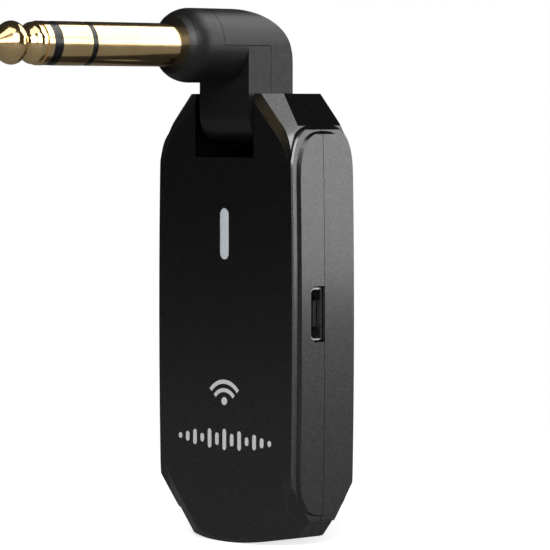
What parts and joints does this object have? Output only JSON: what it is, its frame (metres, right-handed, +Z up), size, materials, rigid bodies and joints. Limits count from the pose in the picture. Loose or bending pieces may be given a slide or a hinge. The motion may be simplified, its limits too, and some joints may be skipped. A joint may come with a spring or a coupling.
{
  "type": "wireless guitar transmitter",
  "caption": "Pocket wireless transmitter for an electric guitar: a gold three-contact 6.35 mm jack plug on a folding head, hinged in a slim gloss case with a charging socket and a power button.",
  "frame": {"origin": "centre of the barrel's end face, on the plug's axis, where the plug seats against a jack", "axes": "-Y along the plug towards its tip, +Z up from the case to the head, +X towards the side with the charging socket"},
  "size_m": [0.0316, 0.056, 0.0794],
  "materials": {
    "gold": "polished gold plate",
    "insulator": "moulded black",
    "tinned_brass": "stamped",
    "matte_black": "fine spark texture",
    "gloss_black": "gloss paint with fine metallic flake",
    "steel": "satin",
    "bronze": "sintered",
    "diffuser": "milky white",
    "board_green": "solder mask",
    "chip_black": "moulded",
    "ceramic": "moulded",
    "battery_foil": "laminated foil",
    "foam": "open cell",
    "wire_sleeve": "silicone sleeve"
  },
  "bodies": {
    "plug_head": {"tip_contact": "gold", "tip_insulator": "insulator", "ring_contact": "gold", "ring_insulator": "insulator", "sleeve_contact": "gold", "head_housing": "matte_black", "head_cover": "matte_black", "tip_lug": "tinned_brass", "ring_lug": "tinned_brass", "sleeve_lug": "tinned_brass", "plug_wires": "wire_sleeve", "hinge_axle": "steel", "axle_clip_left": "steel", "axle_clip_right": "steel", "friction_washer_left": "steel", "friction_washer_right": "steel"},
    "case": {"back_shell": "gloss_black", "battery_cell": "battery_foil", "battery_connector": "ceramic", "battery_leads": "wire_sleeve", "battery_pad": "foam", "board_screws": "steel", "case_wires": "wire_sleeve", "charger_chip": "chip_black", "chip_antenna": "ceramic", "circuit_board": "board_green", "codec_chip": "chip_black", "front_shell": "gloss_black", "hinge_bush_left": "bronze", "hinge_bush_right": "bronze", "light_pipe": "diffuser", "radio_chip": "chip_black", "rf_shield": "steel", "status_led": "diffuser", "tact_switch": "chip_black", "usb_receptacle": "steel", "usb_tongue": "chip_black"},
    "power_button": {"power_button": "matte_black", "switch_plunger": "ceramic"}
  },
  "joints": [
    {"name": "fold", "type": "hinge", "parent": "plug_head", "child": "case", "pos_m": [0, 0.0147, -0.0102], "axis": [1, 0, 0], "range_deg": [-90, 90]},
    {"name": "button_press", "type": "slide", "parent": "case", "child": "power_button", "axis": [1, 0, 0], "range_m": [0, 0.00035], "stiffness_N_per_m": 4000, "springref_m": -0.0002}
  ]
}
